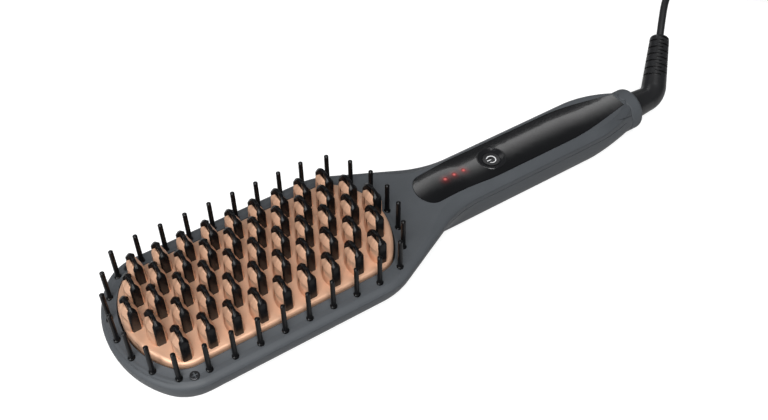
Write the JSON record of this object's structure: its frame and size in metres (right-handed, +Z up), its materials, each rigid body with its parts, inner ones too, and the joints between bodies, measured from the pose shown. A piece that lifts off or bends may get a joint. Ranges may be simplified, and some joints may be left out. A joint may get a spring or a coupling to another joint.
{
  "type": "heated styling brush",
  "caption": "Heated straightening brush on its back: copper teeth with black tips on a crowned plate, guard pins round the rim, a power button on the handle, a swivel cord and a plug.",
  "frame": {"origin": "middle of the brush's box without its cord, on the surface that it lies on", "axes": "X along the brush from the head to the cord's swivel, Y across it, Z up, the way the teeth point"},
  "size_m": [0.5293, 0.0801, 0.0408],
  "materials": {
    "body_grey": "satin",
    "panel_gloss": "polished",
    "button_black": "satin",
    "symbol_white": "satin",
    "light_red": "clear, lit red",
    "copper_coat": "satin copper coloured coating",
    "tip_black": "fine matte",
    "screw_steel": "blackened",
    "cord_black": "satin",
    "tie_black": "matte",
    "plug_black": "satin",
    "pin_metal": "bright",
    "inner_black": "moulded",
    "bush_white": "moulded",
    "heater_body": "plain",
    "mica_tan": "sheet",
    "clamp_steel": "stamped",
    "sensor_glass": "coated",
    "board_green": "solder mask",
    "component_dark": "moulded",
    "contact_brass": "plain",
    "lead_red": "insulated wire"
  },
  "bodies": {
    "brush_body": {"front_frame": "body_grey", "rear_shell": "body_grey", "collar": "body_grey", "handle_panel": "panel_gloss", "button_bezel": "panel_gloss", "light_guide": "light_red", "status_leds": "light_red", "heating_plate": "copper_coat", "heating_fins": "copper_coat", "cool_tips": "tip_black", "guard_pins": "tip_black", "rim_screws": "screw_steel", "handle_screws": "screw_steel", "clamp_screws": "screw_steel", "power_cord": "cord_black", "cord_coil": "cord_black", "plug_cord": "cord_black", "cord_tie": "tie_black", "plug_body": "plug_black", "plug_pins": "pin_metal", "pin_carrier": "inner_black", "insulator_frame": "inner_black", "tact_switch": "inner_black", "contact_block": "inner_black", "swivel_bush": "bush_white", "ptc_heater": "heater_body", "heat_shield": "heater_body", "mica_sheet": "mica_tan", "heater_clamp": "clamp_steel", "thermistor": "sensor_glass", "thermal_fuse": "sensor_glass", "control_board": "board_green", "board_components": "component_dark", "contact_springs": "contact_brass", "heater_leads": "lead_red", "supply_leads": "lead_red"},
    "power_button": {"button_cap": "button_black", "power_symbol": "symbol_white", "switch_plunger": "inner_black"},
    "cord_swivel": {"swivel_rotor": "bush_white", "slip_rings": "contact_brass", "strain_relief": "cord_black"}
  },
  "joints": [
    {"name": "button_press", "type": "slide", "parent": "brush_body", "child": "power_button", "axis": [0, 0, -1], "range_m": [0, 0.0006], "stiffness_N_per_m": 1500},
    {"name": "cord_swivel_turn", "type": "hinge", "parent": "brush_body", "child": "cord_swivel", "pos_m": [0.10624, 0, 0.012], "axis": [1, 0, 0], "continuous": true}
  ]
}
